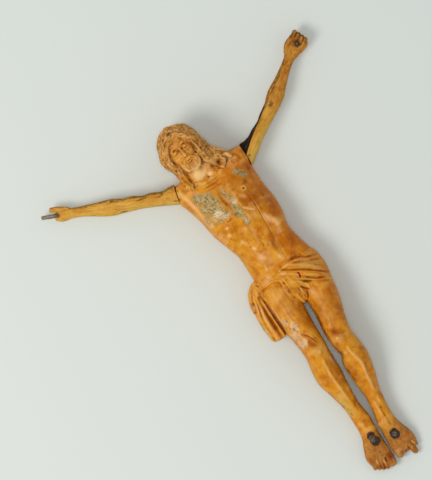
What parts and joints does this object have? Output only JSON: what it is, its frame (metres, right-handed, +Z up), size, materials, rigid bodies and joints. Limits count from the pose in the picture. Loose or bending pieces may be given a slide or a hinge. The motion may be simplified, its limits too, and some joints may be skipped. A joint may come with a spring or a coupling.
{
  "type": "wooden corpus figure",
  "caption": "Carved wooden figure with spread arms, bearded head, draped loincloth and slightly bent legs, lying on its flat back, for fixing to an upright and crossbar",
  "frame": {"origin": "on the flat back's plane, under the middle of the whole figure", "axes": "+Z up out of the chest, +Y from the feet to the head, +X to the figure's left hand"},
  "size_m": [0.2851, 0.3718, 0.0556],
  "materials": {
    "carved_wood": "golden brown waxed boxwood, glossy on the trunk, worn and crusted in patches",
    "arm_wood": "paler yellow wood with long grain streaks, half dull",
    "grey_wood": "grey weathered sliver, dull",
    "iron": "dark, rusted and pitted"
  },
  "bodies": {
    "root": {"body": "carved_wood", "right_arm": "arm_wood", "left_arm": "arm_wood", "right_hand_peg": "grey_wood", "left_hand_nail": "iron", "right_foot_nail": "iron", "left_foot_nail": "iron"}
  },
  "joints": []
}
